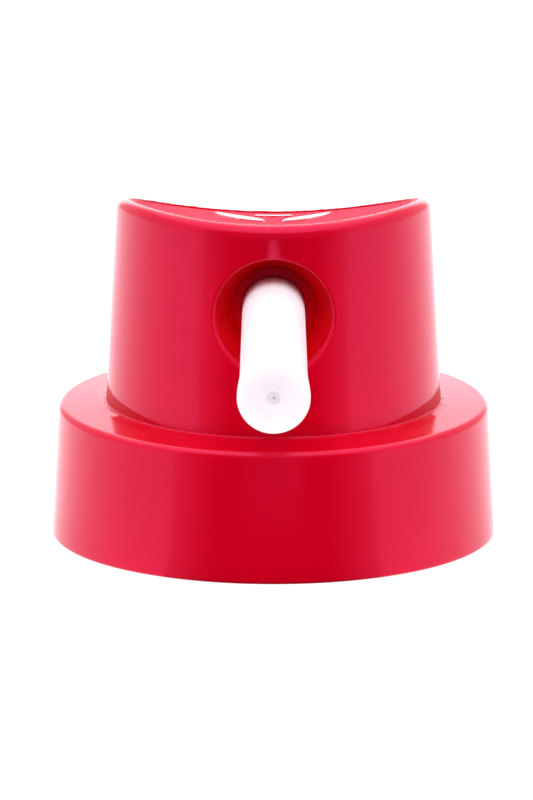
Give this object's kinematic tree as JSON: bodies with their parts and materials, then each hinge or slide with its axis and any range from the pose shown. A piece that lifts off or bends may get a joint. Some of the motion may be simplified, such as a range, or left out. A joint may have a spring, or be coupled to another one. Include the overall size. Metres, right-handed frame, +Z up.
{
  "type": "aerosol spray cap",
  "caption": "Push-on spray cap for a paint aerosol: wide skirt, tapered body with a saddle finger pad, and a straight spout tube that pulls out of its nozzle insert.",
  "frame": {"origin": "on the axis of the skirt and of the valve stem's socket, in the plane of the skirt's foot", "axes": "+Z up the cap's axis from the skirt's foot to the finger pad; the spout tube points along -Y; +X is to the right when the spout points at the viewer"},
  "size_m": [0.0176, 0.0288, 0.014],
  "materials": {
    "red_cap_plastic": "glossy moulded polypropylene, dyed red through",
    "red_insert_plastic": "satin moulded plastic, red",
    "white_tube_plastic": "smooth natural white polyethylene, slightly translucent"
  },
  "bodies": {
    "cap": {"cap_body": "red_cap_plastic", "nozzle_insert": "red_insert_plastic"},
    "tube": {"spray_tube": "white_tube_plastic"}
  },
  "joints": [
    {"name": "tube_pull", "type": "slide", "parent": "cap", "child": "tube", "axis": [0, -1, 0], "range_m": [0, 0.0025]}
  ]
}
